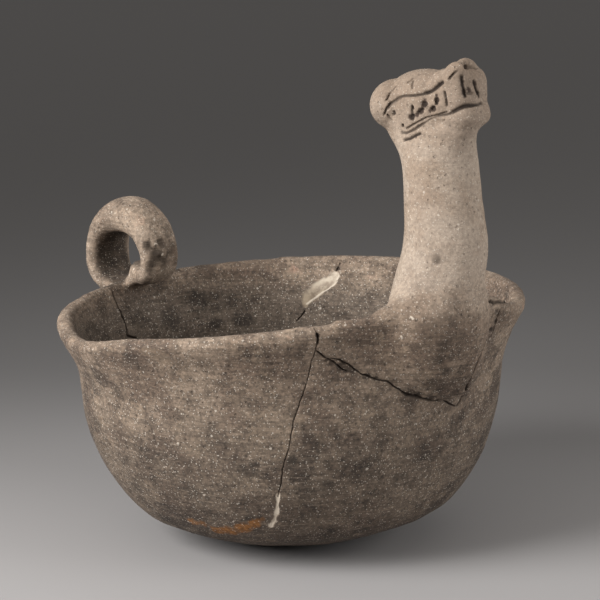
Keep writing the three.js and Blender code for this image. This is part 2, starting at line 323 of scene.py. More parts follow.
# The breaks
# The vessel broke and was mended from its own sherds. The joins stand open as fine dark cracks. width is half
# the crack's width, and dirt is how dark it is.
CRACKS = {
    "wall": {
        "pixels": [
            (312.5, 326), (314.5, 328), (318.4, 335.7), (316, 349.5), (311.5, 361.7), (307.7, 380),
            (301, 400), (294, 420), (289, 448), (284, 464), (280, 489), (278, 497),
        ],
        "width": 0.00018,
        "dirt": 0.55,
    },
    "wall_mouth": {"pixels": [(316.5, 331), (318.4, 336), (317, 346)], "width": 0.0004, "dirt": 0.9},
    "under_neck": {
        "pixels": [
            (316, 351), (326, 358), (336.7, 358.7), (347.5, 364), (361, 374), (376.5, 380), (387, 381.6),
            (398, 389), (407, 396), (415, 397), (429, 401), (444, 401.5), (456, 407),
        ],
        "width": 0.00028,
        "dirt": 0.95,
    },
    "under_neck_open": {
        "pixels": [(401, 391), (407, 396), (415, 397), (429, 401), (438, 401.5)],
        "width": 0.0006,
        "dirt": 0.8,
    },
    "root_edge": {"pixels": [(456, 407), (460, 402), (464, 394), (468, 383)], "width": 0.00045, "dirt": 1},
    "root_side": {
        "pixels": [(468, 383), (474, 371), (480, 356), (487, 340), (493, 326), (500, 312)],
        "width": 0.0003,
        "dirt": 0.8,
    },
    "root_side_open": {
        "pixels": [(489, 331), (494, 324), (499, 313), (503, 306)],
        "width": 0.0005,
        "dirt": 0.7,
    },
    "spur": {"pixels": [(326, 358), (335, 363), (341, 369), (349, 373)], "width": 0.0003, "dirt": 0.6},
    "shoulder": {"pixels": [(489, 301.5), (495, 303), (503, 301), (511, 301)], "width": 0.0007, "dirt": 0.75},
    "inside_left": {
        "pixels": [(112, 290), (116, 302), (121.7, 313.5), (126.5, 325), (127.5, 335.5), (140, 340)],
        "width": 0.0004,
        "dirt": 1,
    },
    "inside_back": {"pixels": [(340.5, 262), (338.5, 266), (335.5, 271.5)], "width": 0.0004, "dirt": 0.9},
    "inside_low": {"pixels": [(306, 310), (302.5, 315), (296, 322)], "width": 0.0003, "dirt": 0.6},
    "lip_left": {"pixels": [(64, 330), (71, 329), (77, 325)], "width": 0.0002, "dirt": 0.4},
}
for number, crack in enumerate(CRACKS.values()):
    crack["line"] = drawn(crack["pixels"], step=2, wander=0.8, seed=number)

# The incised face
# Lines drawn into the leather-hard clay with a pointed stick: lips, teeth, nose and eye. Dark pigment or dirt
# fills most of them, and the grooves under the nose and at the foot of the front teeth are painted dark as
# painted shade. The same lines are cut on the side away from the camera.
FACE_LINES = {
    "upper_lip": {
        "pixels": [
            (384, 116), (386, 110), (390, 104), (397, 98.5), (404, 96), (416, 95.5), (424, 94), (431, 91),
        ],
        "width": 0.00045,
        "dirt": 0.8,
    },
    "upper_lip_front": {
        "pixels": [(424, 94), (431, 91), (436, 88), (440, 84.5), (444.5, 81)],
        "width": 0.0007,
        "dirt": 1,
    },
    "inner_lip": {"pixels": [(387, 111), (391, 105), (397, 100.5), (403, 98)], "width": 0.0003, "dirt": 0.45},
    "lower_lip": {
        "pixels": [
            (400, 132.5), (406, 133), (413, 130), (422, 124.5), (432, 119), (440, 116), (449, 114),
            (458, 109),
        ],
        "width": 0.00042,
        "dirt": 0.75,
    },
    "lower_lip_twin": {
        "pixels": [(405, 129.5), (416, 123), (426, 118), (437, 115.5), (448, 111.5)],
        "width": 0.00032,
        "dirt": 0.5,
    },
    "mouth": {
        "pixels": [(450, 113), (457, 109.5), (464, 106.5), (472, 105), (479, 104), (484, 102)],
        "width": 0.0008,
        "dirt": 1,
    },
    "nose_side": {
        "pixels": [(448, 81), (453, 74.5), (458.5, 70), (461, 67.5)],
        "width": 0.00045,
        "dirt": 0.75,
    },
    # A groove under the nose, painted dark: painted shade under the nose.
    "nose_under": {"pixels": [(462, 68), (468, 66.5), (474, 67), (478, 69.5)], "width": 0.0006, "dirt": 0.5},
    "tooth_a": {"pixels": [(412.5, 104), (412, 110), (412.5, 115)], "width": 0.00042, "dirt": 0.9},
    "tooth_a_foot": {"pixels": [(409.5, 118.5), (413, 115.5), (411.5, 121)], "width": 0.0008, "dirt": 1},
    "tooth_b": {"pixels": [(424, 101), (425.3, 107)], "width": 0.00085, "dirt": 1},
    "tooth_b_foot": {"pixels": [(424.5, 107), (420, 112), (417, 114.5)], "width": 0.0006, "dirt": 0.8},
    "tooth_c": {"pixels": [(435.8, 96), (436.8, 101), (436.5, 106)], "width": 0.0006, "dirt": 1},
    "tooth_c_foot": {"pixels": [(435, 106.5), (431, 110.5)], "width": 0.0007, "dirt": 0.9},
    "tooth_d": {"pixels": [(444.5, 90), (446, 99.5), (447.3, 108)], "width": 0.0004, "dirt": 0.8},
    "tooth_e": {"pixels": [(402.8, 123.5), (402.8, 127.5)], "width": 0.0005, "dirt": 1},
    "mouth_end": {"pixels": [(387, 113.5), (389.5, 118), (392.5, 121.5)], "width": 0.00032, "dirt": 0.6},
    "mouth_mark": {"pixels": [(393, 110), (394.5, 113.5), (392, 115.5)], "width": 0.00045, "dirt": 0.9},
    "under_lip": {
        "pixels": [(402.5, 140.5), (410, 138.5), (416, 135), (422, 132.5)],
        "width": 0.00055,
        "dirt": 0.95,
    },
    "front_tooth_near": {
        "pixels": [(461.5, 74), (462.2, 83), (464.5, 92), (466.2, 99)],
        "width": 0.0008,
        "dirt": 1,
    },
    "front_tooth_far": {
        "pixels": [(473, 78.5), (475, 86), (476.8, 91), (479, 94), (480.5, 99)],
        "width": 0.00065,
        "dirt": 1,
    },
    # A groove at the foot of the front teeth, painted dark: painted shade at the foot of their recess.
    "front_gum": {"pixels": [(465, 93), (469, 94), (474, 93)], "width": 0.0005, "dirt": 0.5},
    "eye_under": {
        "pixels": [(384.7, 101.5), (387, 99.5), (390, 93), (394, 88), (397.5, 85)],
        "width": 0.00034,
        "dirt": 0.5,
    },
    "eye_over": {"pixels": [(406.5, 83.5), (410, 81.2), (414.5, 77.5)], "width": 0.00034, "dirt": 0.5},
    "eye_corner": {"pixels": [(414, 79.5), (412.3, 85), (412.5, 90)], "width": 0.00034, "dirt": 0.5},
    "chin_crease": {"pixels": [(434, 124.5), (440, 122.5), (446, 119.5)], "width": 0.0004, "dirt": 0.4},
}
into_head = head_place.inverted()
mirrored = {}
for name, mark in FACE_LINES.items():
    mark["line"] = drawn(mark["pixels"], step=2)
    if "front" not in name and name not in ("mouth", "nose_under"):
        far_side = []
        for place in mark["line"]:
            local = into_head @ Vector(place)
            local.y = -local.y
            far_side.append(np.array(wall_tree.find_nearest(head_place @ local)[0]))
        mirrored[name + "_far"] = {**mark, "line": np.array(far_side)}
FACE_LINES.update(mirrored)

# Whole bits of shell that show in the clay, and the raised edge of the plaster inside the far rim, painted
# pale as a painted highlight.
SHELL_BITS_AND_HIGHLIGHT = {
    "plaster_ridge_highlight": {
        "pixels": [(338.5, 276), (337, 282), (329, 288.5), (318, 295.5), (307, 304)],
        "width": 0.00035,
    },
    "neck_root": {"pixels": [(411, 317), (413, 319)], "width": 0.0006},
    "below_root": {"pixels": [(401.5, 336.5), (402.3, 338)], "width": 0.0004},
    "tail_upper": {"pixels": [(155, 243.5), (157, 244)], "width": 0.0005},
    "tail_lower": {"pixels": [(162, 255), (163, 254)], "width": 0.0005},
}
for mark in SHELL_BITS_AND_HIGHLIGHT.values():
    mark["line"] = drawn(mark["pixels"], step=2, wander=0.6)

# The seam of plaster in the join low on the wall.
PLASTER_SEAM = {
    "pixels": [(278.5, 494), (277.8, 503), (276.8, 511), (275, 518), (270.5, 526)],
    "width": 0.00095,
}
PLASTER_SEAM["line"] = drawn(PLASTER_SEAM["pixels"], step=2, wander=1.0, seed=50)


def cut_finer(clay, picked):
    """Cuts the faces whose middles are picked into four."""
    middles = np.array([face.calc_center_median() for face in clay.faces])
    chosen = np.flatnonzero(picked(middles))
    clay.faces.ensure_lookup_table()
    edges = {edge for index in chosen for edge in clay.faces[index].edges}
    bmesh.ops.subdivide_edges(clay, edges=list(edges), cuts=1, use_grid_fill=True)


def near_marks(middles, marks, reach):
    close = np.zeros(len(middles), dtype=bool)
    for mark in marks.values():
        inside = close_to(mark["line"], middles, reach)
        close[inside] |= nearest_on(mark["line"], middles[inside])[0] < reach
    return close


def fine_parts(middles):
    x, y, z = middles.T
    lip = (np.hypot(x, y) > 0.089) & (z > 0.088)
    tail = (x < -0.074) & (z > 0.094)
    return lip | tail | (z > 0.168)


# Faces are cut up to three times, the closer they are to a mark.
FINE_REACH, FINER_REACH, FINEST_REACH = 0.0026, 0.0014, 0.0009
FACE_LOW = 0.172
fine_marks = CRACKS | SHELL_BITS_AND_HIGHLIGHT | {"plaster_seam": PLASTER_SEAM}
cut_finer(clay, lambda middles: near_marks(middles, fine_marks, FINE_REACH) | fine_parts(middles))
cut_finer(clay, lambda middles: near_marks(middles, fine_marks, FINER_REACH) | (middles[:, 2] > FACE_LOW))
cut_finer(clay, lambda middles: near_marks(middles, fine_marks | FACE_LINES, FINEST_REACH))
clay.to_mesh(clay_mesh)
clay.free()

places = places_of(clay_mesh)
edges = edges_of(clay_mesh)
on_head = smooth_step(0.166, 0.174, places[:, 2])
places = wiped(places, edges, 0.5 * on_head + 0.3 * (1 - on_head), 3)

# The lip is rounded again in its finer faces, apart from where the neck's root rises from it.
x, y, z = places.T
bearing = np.degrees(np.arctan2(y, x))
round_lip = smooth_step(0.086, 0.089, z) * smooth_step(0.089, 0.091, np.hypot(x, y)) * (z < 0.13)
round_lip *= 1 - smooth_step(-44, -34, bearing) * (1 - smooth_step(28, 36, bearing))
round_lip *= 1 - smooth_step(-0.062, -0.07, x) * smooth_step(0.0945, 0.097, z)
for index in np.flatnonzero(round_lip > 0):
    near = pressed_tree.find_nearest(places[index])[0]
    places[index] += round_lip[index] * (np.array(near) - places[index])
places = wiped(places, edges, HALF_WAY * round_lip, 12, WIPE_BACK)

# The head and the throat take the shape of the fine head, and the throat is wiped where they meet.
fine_mesh = skin_of(upper, FINE_GRAIN)
fine_strength = np.full(len(fine_mesh.vertices), HALF_WAY)
fine_places = wiped(places_of(fine_mesh), edges_of(fine_mesh), fine_strength, 6)
write_places(fine_mesh, fine_places)
fine = bmesh.new()
fine.from_mesh(fine_mesh)
fine_tree = BVHTree.FromBMesh(fine)
fine.free()
for index in np.flatnonzero(on_head > 0):
    near = fine_tree.find_nearest(places[index])[0]
    places[index] += on_head[index] * (np.array(near) - places[index])
throat = smooth_step(0.170, 0.176, places[:, 2]) * (1 - smooth_step(0.186, 0.190, places[:, 2]))
places = wiped(places, edges, HALF_WAY * throat, 16)
places = wiped(places, edges, HALF_WAY * on_head, 2)
write_places(clay_mesh, places)


def clay_noise(places, size, seed, octaves=3):
    """Soft unevenness, mostly from -1 to 1, with lumps of about the given size."""
    offset = Vector((seed * 7.1, seed * 3.7, seed * 1.3))
    return np.array([noise.fractal(Vector(place) / size + offset, 0.8, 2.0, octaves) for place in places])


def spots(pixels, places, soft=0.6):
    """1 in the middle of round spots on the clay, falling to 0 at their edges. Each row has the pixel, the
    radius and the strength."""
    strength = np.zeros(len(places))
    for x, y, radius, depth in pixels:
        far = np.linalg.norm(places - on_clay(x, y), axis=1)
        strength = np.maximum(strength, depth * (1 - smooth_step(soft * radius, radius, far)))
    return strength


def broken_spots(pixels, soft, low, high, unevenness):
    """Round spots whose edges are broken up by an unevenness, with nothing outside the circles."""
    strength = smooth_step(low, high, spots(pixels, places, soft) + unevenness)
    strength[spots(pixels, places, 0.9) == 0] = 0
    return strength


x, y, z = places.T
radius = np.hypot(x, y)
bearing = np.degrees(np.arctan2(y, x))
normals = normals_of(clay_mesh)
on_lip = smooth_step(0.082, 0.09, z) * smooth_step(0.086, 0.09, radius)
on_tail = smooth_step(-0.068, -0.074, x) * smooth_step(0.096, 0.099, z)
calm = 1 - 0.7 * np.maximum(on_lip, smooth_step(0.17, 0.18, z))
ragged = clay_noise(places, 0.0055, 3, 3)

# The potter's hand left broad and small unevenness, less on the head and on the lip.
BROAD_UNEVENNESS = 0.00045
SMALL_UNEVENNESS = 0.00016
LIP_UNEVENNESS = 0.0001
push = BROAD_UNEVENNESS * clay_noise(places, 0.028, 1, 2) * calm
push += SMALL_UNEVENNESS * clay_noise(places, 0.008, 2, 2) * calm
push += LIP_UNEVENNESS * on_lip * ragged

# The neck's root stands a little proud of the wall along the cracks beside it and below it. Each row has the
# proud side, the step's height and how far it fades out.
STEPS = [
    ("root_side", -view_right, 0.0009, 0.009),
    ("root_edge", -view_right, 0.0003, 0.007),
    ("under_neck", Vector((0, 0, 1)), 0.0008, 0.007),
]
for name, proud_side, height, fade in STEPS:
    line = CRACKS[name]["line"]
    close = close_to(line, places, fade)
    far, share = nearest_on(line, places[close])
    marks = np.linspace(0, 1, len(line))
    nearest = np.stack([np.interp(share, marks, line[:, axis]) for axis in range(3)], axis=1)
    side = (places[close] - nearest) @ np.array(proud_side)
    ends = smooth_step(0, 0.15, share) * smooth_step(1, 0.85, share)
    raised = smooth_step(-0.0006, 0.0006, side) * (1 - smooth_step(0, fade, far))
    push[close] += height * ends * raised


def write_mark(name, values):
    attribute = clay_mesh.attributes.new(name, "FLOAT", "POINT")
    attribute.data.foreach_set("value", np.clip(values, 0, 1).astype(np.float32))


# Cracks and incised lines go in along their own lines.
CRACK_DEPTH = 0.0013
LINE_DEPTH = 0.0009
DEPTH_PER_WIDTH = 3.5
STAIN_REACH = 0.0002
MARK_REACH = 0.003
dirt = np.zeros(len(places))
for marks, depth, ragged_share in ((CRACKS, CRACK_DEPTH, 0.6), (FACE_LINES, LINE_DEPTH, 0.15)):
    cut = np.zeros(len(places))
    for mark in marks.values():
        close = close_to(mark["line"], places, MARK_REACH)
        far, share = nearest_on(mark["line"], places[close])
        reach = np.linalg.norm(np.diff(mark["line"], axis=0), axis=1).sum()
        taper = min(0.2, 0.0012 / reach)
        ends = smooth_step(-0.01, taper, share) * smooth_step(1.01, 1 - taper, share)
        width = mark["width"] * (1 + ragged_share * ragged[close])
        deep = min(depth, DEPTH_PER_WIDTH * mark["width"])
        cut[close] = np.maximum(cut[close], deep * ends * np.clip(1.15 - far / (1.4 * width), 0, 1))
        stain = mark["dirt"] * ends * (1 - smooth_step(0.6 * width, 1.3 * width + STAIN_REACH, far))
        dirt[close] = np.maximum(dirt[close], stain)
    push -= cut
write_mark("dirt", dirt)

SHELL_HEIGHT = 0.00015
shell = np.zeros(len(places))
for mark in SHELL_BITS_AND_HIGHLIGHT.values():
    close = close_to(mark["line"], places, MARK_REACH)
    far, _ = nearest_on(mark["line"], places[close])
    width = mark["width"] * (1 + 0.5 * ragged[close])
    shell[close] = np.maximum(shell[close], 1 - smooth_step(0.8 * width, 1.1 * width, far))
push += SHELL_HEIGHT * shell
write_mark("shell", shell)

# Dark pigment clings to the teeth. The hollows of the muzzle, between the front teeth and under the nose, are
# painted dark as painted shade.
PIGMENT_AND_SHADE = [
    (411, 117, 0.0022, 0.9), (413, 108, 0.0012, 0.8), (417, 115, 0.0016, 0.8), (421, 111, 0.0022, 1),
    (424.5, 104, 0.0024, 1), (425, 99.5, 0.0012, 0.8), (433, 108.5, 0.0022, 0.9), (436.5, 100, 0.0018, 1),
    (436, 95, 0.001, 0.8), (430, 111.5, 0.0013, 0.7), (463, 82, 0.0015, 0.8), (464, 92, 0.0018, 0.9),
    (475, 84, 0.0016, 0.8), (478, 93, 0.0016, 0.8), (469, 90, 0.0022, 0.6), (440, 84.5, 0.0014, 0.7),
    (467, 65.5, 0.0018, 0.7), (402.8, 125.5, 0.001, 0.9), (416, 136.5, 0.0012, 0.5), (393.5, 112, 0.001, 0.6),
]
PIGMENT_DEPTH = 0.0003
scratchy = clay_noise(places, 0.0016, 13, 3)
pigment = broken_spots(PIGMENT_AND_SHADE, 0.2, 0.3, 0.6, 0.3 * scratchy)
push -= PIGMENT_DEPTH * pigment
write_mark("pigment", pigment)

# Plaster fills one join low on the wall and a chip inside the far rim.
PLASTER = [
    (335, 276, 0.0028, 1), (331, 281, 0.0034, 1), (325, 284, 0.004, 1), (318, 288, 0.0044, 1),
    (312, 294, 0.0042, 1), (307, 299, 0.0032, 1), (305.5, 305, 0.0016, 1),
]
PLASTER_DEPTH = 0.0002
plaster = broken_spots(PLASTER, 0.5, 0.25, 0.5, 0.25 * ragged)
close = close_to(PLASTER_SEAM["line"], places, MARK_REACH)
far, _ = nearest_on(PLASTER_SEAM["line"], places[close])
seam_width = PLASTER_SEAM["width"] * (1 + 0.7 * ragged[close])
plaster[close] = np.maximum(plaster[close], 1 - smooth_step(0.6 * seam_width, 1.1 * seam_width, far))
push -= PLASTER_DEPTH * plaster
write_mark("plaster", plaster)

# Worn places: a flaked skin under the rim, chips along the crack under the neck, and the eroded tail.
FLAKES = [
    (146, 352, 0.004, 0.8), (154, 355, 0.005, 1), (162, 358, 0.0055, 1), (168, 363, 0.003, 1),
    (110, 350, 0.003, 0.6), (124, 349, 0.0026, 0.5), (92, 390, 0.0035, 0.7), (97, 402, 0.0045, 0.8),
    (102, 420, 0.0045, 0.75), (111, 443, 0.004, 0.7), (74, 340, 0.003, 0.7), (232, 345, 0.003, 0.6),
]
FLAKE_DEPTH = 0.00035
flaked = broken_spots(FLAKES, 0.3, 0.35, 0.6, 0.2 * ragged)
push -= FLAKE_DEPTH * flaked
write_mark("flaked", flaked)

CHIPS = [
    (326, 361, 0.0016, 0.7), (332, 363, 0.002, 0.9), (341, 367, 0.0028, 1), (347, 370, 0.0026, 1),
    (353, 371, 0.0022, 0.9), (366, 377, 0.0026, 0.9), (376, 379, 0.002, 0.8), (409, 394, 0.0022, 0.8),
    (418, 394, 0.0026, 0.8), (430, 398, 0.0028, 0.9), (440, 399, 0.0022, 0.8), (494, 303, 0.0022, 0.8),
    (504, 299, 0.0026, 0.8), (497, 311, 0.002, 0.7), (318, 336, 0.0018, 0.7), (338, 268, 0.0016, 0.9),
]
CHIP_DEPTH = 0.0003
chipped = broken_spots(CHIPS, 0.3, 0.35, 0.6, 0.3 * ragged)
push -= CHIP_DEPTH * chipped
write_mark("chipped", chipped)

ERODED = [
    (148, 246, 0.004, 1), (156, 254, 0.0062, 1), (165, 262, 0.005, 1), (152, 263, 0.0045, 1),
    (161, 243, 0.0045, 0.9), (170, 252, 0.004, 0.8), (150, 270, 0.004, 0.9),
]
ERODED_DEPTH = 0.0005
ERODED_UNEVENNESS = 0.0009
eroded = broken_spots(ERODED, 0.1, 0.15, 0.75, 0.35 * ragged + 0.2 * scratchy)
push -= eroded * (ERODED_DEPTH + ERODED_UNEVENNESS * clay_noise(places, 0.0026, 5, 2))
write_mark("eroded", eroded)

# Dents in the tail and the muzzle, and a smear of clay where the neck meets the lip, which stands out.
DENTS = [
    (111, 213, 0.0034, 0.0007), (466, 65.5, 0.0022, 0.0014), (468, 84, 0.0028, 0.0007),
    (390, 309, 0.011, -0.0017),
]
for px, py, reach, depth in DENTS:
    far = np.linalg.norm(places - on_clay(px, py), axis=1)
    push -= depth * (1 - smooth_step(0, reach, far))

# Nothing goes below the table.
places = places + push[:, None] * normals
places[:, 2] = np.maximum(places[:, 2], 0)
write_places(clay_mesh, places)

# The colours of the firing
# Smoke left grey clouds on the wall, the neck, head and tail burned to a pale pinkish tan, and damp left an
# ochre stain by the base. The lip is worn pale.
CLOUDS = [
    (293, 461, 0.0038, 1), (366, 464, 0.006, 0.9), (356, 472, 0.005, 0.8), (376, 457, 0.004, 0.8),
    (422, 460, 0.006, 0.7), (328, 486, 0.006, 0.8), (190, 490, 0.009, 0.7), (241, 469, 0.005, 0.6),
    (249, 518, 0.004, 0.8), (445, 346, 0.007, 0.7), (452, 356, 0.004, 0.8), (412, 349, 0.0035, 0.6),
    (436, 259, 0.004, 0.7), (431, 394, 0.004, 0.7), (127, 356, 0.004, 0.7), (98, 362, 0.006, 0.6),
    (267, 393, 0.004, 0.6), (165, 404, 0.004, 0.6), (144, 449, 0.008, 0.6), (97, 425, 0.008, 0.6),
    (183, 373, 0.009, 0.5), (243, 318, 0.008, 1), (198, 299, 0.009, 0.9), (170, 318, 0.01, 0.8),
    (215, 325, 0.006, 0.9),
    (345, 500, 0.006, 0.6), (400, 480, 0.008, 0.6), (300, 520, 0.009, 0.5), (222, 455, 0.005, 0.5),
    (168, 232, 0.006, 0.7), (172, 246, 0.005, 0.7), (150, 222, 0.004, 0.5), (104, 224, 0.003, 0.4),
    (160, 278, 0.005, 0.6), (447, 372, 0.005, 0.6), (438, 361, 0.005, 0.5), (330, 397, 0.006, 0.5),
    (205, 340, 0.007, 0.5), (118, 392, 0.006, 0.5), (210, 430, 0.008, 0.5), (318, 446, 0.006, 0.5),
]
STAIN = [
    (193, 522, 0.0045, 0.8), (203, 524, 0.004, 0.7), (218, 531, 0.005, 1), (230, 531, 0.006, 1),
    (243, 528, 0.006, 1), (254, 524, 0.005, 0.8), (262, 519, 0.003, 0.6),
]
cloud = np.clip(spots(CLOUDS, places, 0.2) * (1 + 0.5 * clay_noise(places, 0.006, 7, 3)), 0, 1)
write_mark("cloud", cloud)
write_mark("stain", spots(STAIN, places, 0.3))

# The faces inside the tail's coil that turn towards its middle are painted dark: painted shade inside the
# coil.
COIL_MIDDLE = np.array([-0.094, -0.0132, 0.1146])
to_middle = COIL_MIDDLE - places
to_middle /= np.linalg.norm(to_middle, axis=1)[:, None]
coil_shade_mask = on_tail * smooth_step(0.35, 0.8, (normals * to_middle).sum(1))
write_mark("soot", coil_shade_mask * (0.9 + 0.3 * ragged))

inward = -(normals[:, 0] * x + normals[:, 1] * y) / np.maximum(radius, 1e-6)
below_lip = 1 - smooth_step(0.085, 0.098, z - 0.012 * smooth_step(0.05, 0.09, x))
inside = smooth_step(-0.2, 0.3, inward + (radius < 0.05) * normals[:, 2]) * below_lip * (radius < 0.0955)
write_mark("inside", inside)
on_root = smooth_step(-34, -14, bearing) * (1 - smooth_step(12, 26, bearing)) * (x > 0.05)
on_neck = np.maximum(smooth_step(0.116, 0.15, z) * (x > 0.05), 0.8 * on_root * smooth_step(0.082, 0.135, z))
lip_top = on_lip * smooth_step(0.35, 0.8, normals[:, 2]) * (1 - on_tail)
pale = np.maximum(np.maximum(on_neck, 0.38 * on_tail), 0.3 * lip_top)
write_mark("pale", pale * (1 + 0.25 * clay_noise(places, 0.012, 11, 2)))

vessel = bpy.data.objects.new("effigy_bowl_clay", clay_mesh)
bpy.context.scene.collection.objects.link(vessel)
clay_mesh.shade_smooth()


def linear(colour):
    """An sRGB hex colour as linear red, green, blue and alpha."""
    channels = [int(colour[i : i + 2], 16) / 255 for i in (1, 3, 5)]
    return [c / 12.92 if c <= 0.04045 else ((c + 0.055) / 1.055) ** 2.4 for c in channels] + [1]


def add_node(tree, kind, settings=None, links=None):
    """Adds a node. Settings name its properties or inputs, and links give the sockets that feed them."""
    node = tree.nodes.new(kind)
    for name, value in (settings or {}).items():
        if isinstance(name, str) and hasattr(node, name):
            setattr(node, name, value)
        else:
            node.inputs[name].default_value = value
    for name, socket in (links or {}).items():
        tree.links.new(socket, node.inputs[name])
    return node


# Shell-tempered earthenware, hand-built, wiped and fired in the open. It is dull grey-brown, and its skin is
# full of burnt shell that shows as fine white flecks, with pits where shell has gone.
earthenware = bpy.data.materials.new("shell_tempered_earthenware")
earthenware.use_nodes = True
tree = earthenware.node_tree
tree.nodes.clear()
place = add_node(tree, "ShaderNodeTexCoord").outputs["Object"]


def mark(name):
    return add_node(tree, "ShaderNodeAttribute", {"attribute_name": name}).outputs["Fac"]


def blend(share, under, over, kind="MIX"):
    """One colour over another, by a share."""
    settings = {"data_type": "RGBA", "blend_type": kind}
    links = {0: share} if not isinstance(share, float) else {}
    if isinstance(share, float):
        settings[0] = share
    for socket, colour in ((6, under), (7, over)):
        if isinstance(colour, str):
            settings[socket] = linear(colour)
        else:
            links[socket] = colour
    return add_node(tree, "ShaderNodeMix", settings, links).outputs[2]


def reckon(operation, first, second):
    """One step of arithmetic on two values, of which either may be a number."""
    settings = {"operation": operation}
    links = {}
    for socket, value in enumerate((first, second)):
        if isinstance(value, (int, float)):
            settings[socket] = value
        else:
            links[socket] = value
    return add_node(tree, "ShaderNodeMath", settings, links).outputs[0]


def rise(value, low, high):
    """0 up to low, 1 from high on, softly between them."""
    settings = {"interpolation_type": "SMOOTHSTEP", "From Min": low, "From Max": high}
    return add_node(tree, "ShaderNodeMapRange", settings, {"Value": value}).outputs["Result"]


def grains(size, detail=3.0, roughness=0.6, stretch=None):
    """Noise whose lumps are about size metres across."""
    vector = place
    if stretch:
        vector = add_node(tree, "ShaderNodeMapping", {"Scale": stretch}, {"Vector": place}).outputs[0]
    settings = {"Scale": 1 / size, "Detail": detail, "Roughness": roughness}
    return add_node(tree, "ShaderNodeTexNoise", settings, {"Vector": vector}).outputs["Fac"]


# Specks take their crooked outlines from places that are shifted by up to half a millimetre.
crooked = {"Scale": 1800.0, "Detail": 1.0}
bend = add_node(tree, "ShaderNodeTexNoise", crooked, {"Vector": place}).outputs["Color"]
bend = add_node(tree, "ShaderNodeVectorMath", {"operation": "SCALE", "Scale": 0.0007}, {0: bend}).outputs[0]
bent = add_node(tree, "ShaderNodeVectorMath", {"operation": "ADD"}, {0: place, 1: bend}).outputs[0]


def speckle(spacing, share, radius, seed):
    """Specks of up to a radius, in that share of the cells of a spacing. All in metres."""
    shift = {"Location": (seed, seed, seed)}
    shifted = add_node(tree, "ShaderNodeMapping", shift, {"Vector": bent}).outputs[0]
    cells = add_node(tree, "ShaderNodeTexVoronoi", {"Scale": 1 / spacing}, {"Vector": shifted})
    parts = add_node(tree, "ShaderNodeSeparateColor", links={"Color": cells.outputs["Color"]})
    size = reckon("MULTIPLY", parts.outputs["Green"], radius / spacing)
    share_out = reckon("DIVIDE", cells.outputs["Distance"], size)
    inside_speck = reckon("SUBTRACT", 1.0, rise(share_out, 0.7, 1.2))
    return reckon("MULTIPLY", inside_speck, reckon("LESS_THAN", parts.outputs["Red"], share))


broad = grains(0.030, 4)
middling = grains(0.009, 5, 0.65)
grit = grains(0.0014, 4, 0.7)
wiping = grains(0.020, 4, 0.6, stretch=(1, 1, 14))

wall_colour = blend(rise(broad, 0.4, 0.62), "#ae9883", "#877261")
smoke_share = reckon("MULTIPLY", rise(grains(0.022, 6, 0.7), 0.52, 0.64), 0.7)
wall_colour = blend(smoke_share, wall_colour, "#55453a")
wall_colour = blend(reckon("MULTIPLY", rise(middling, 0.5, 0.62), 0.42), wall_colour, "#524337")
tan_share = reckon("MULTIPLY", rise(grains(0.017, 6, 0.72), 0.51, 0.64), 0.65)
wall_colour = blend(tan_share, wall_colour, "#bda58d")
wall_height = add_node(tree, "ShaderNodeSeparateXYZ", links={"Vector": place}).outputs["Z"]
# The outer wall is painted darker towards the base and paler towards the rim: painted light and shade.
painted_light_by_height = blend(rise(wall_height, 0.045, 0.1), "#969696", "#cdcdcd")
wall_colour = blend(0.8, wall_colour, painted_light_by_height, "OVERLAY")
pale_colour = blend(rise(broad, 0.4, 0.62), "#ad9c8b", "#9a8673")
pale_colour = blend(reckon("MULTIPLY", rise(middling, 0.5, 0.68), 0.35), pale_colour, "#846f5d")
patchy = reckon("MULTIPLY", reckon("SUBTRACT", middling, 0.5), 0.5)
pale_share = rise(reckon("ADD", mark("pale"), patchy), 0.1, 0.9)
# The pale colour grows darker from the top of the neck up over the head.
darker_head_top = reckon("MULTIPLY", rise(wall_height, 0.172, 0.192), 0.65)
pale_colour = blend(darker_head_top, pale_colour, "#8d7a69")
colour = blend(pale_share, wall_colour, pale_colour)
inside_share = mark("inside")
inside_colour = blend(rise(middling, 0.4, 0.7), "#968473", "#675749")
# The inside is painted darker towards its floor and paler towards the rim: painted shade inside the bowl.
painted_shade_inside = blend(rise(wall_height, 0.045, 0.082), "#686868", "#aeaeae")
inside_colour = blend(0.8, inside_colour, painted_shade_inside, "OVERLAY")
colour = blend(inside_share, colour, inside_colour)
cloud_grain = grains(0.0035, 4, 0.7)
cloud_share = rise(reckon("MULTIPLY", mark("cloud"), reckon("ADD", cloud_grain, 0.45)), 0.2, 0.85)
colour = blend(reckon("MULTIPLY", cloud_share, 0.68), colour, "#3f342b")
stain_share = rise(reckon("MULTIPLY", mark("stain"), reckon("ADD", middling, 0.5)), 0.25, 0.85)
colour = blend(reckon("MULTIPLY", stain_share, 0.95), colour, "#b87a3c")
flaked_share = mark("flaked")
flaked_colour = blend(rise(grit, 0.3, 0.7), "#bda58d", "#9c846e")
colour = blend(reckon("MULTIPLY", flaked_share, 0.75), colour, flaked_colour)
chipped_colour = blend(rise(grit, 0.3, 0.7), "#5c4a3b", "#33271e")
colour = blend(reckon("MULTIPLY", mark("chipped"), 0.75), colour, chipped_colour)
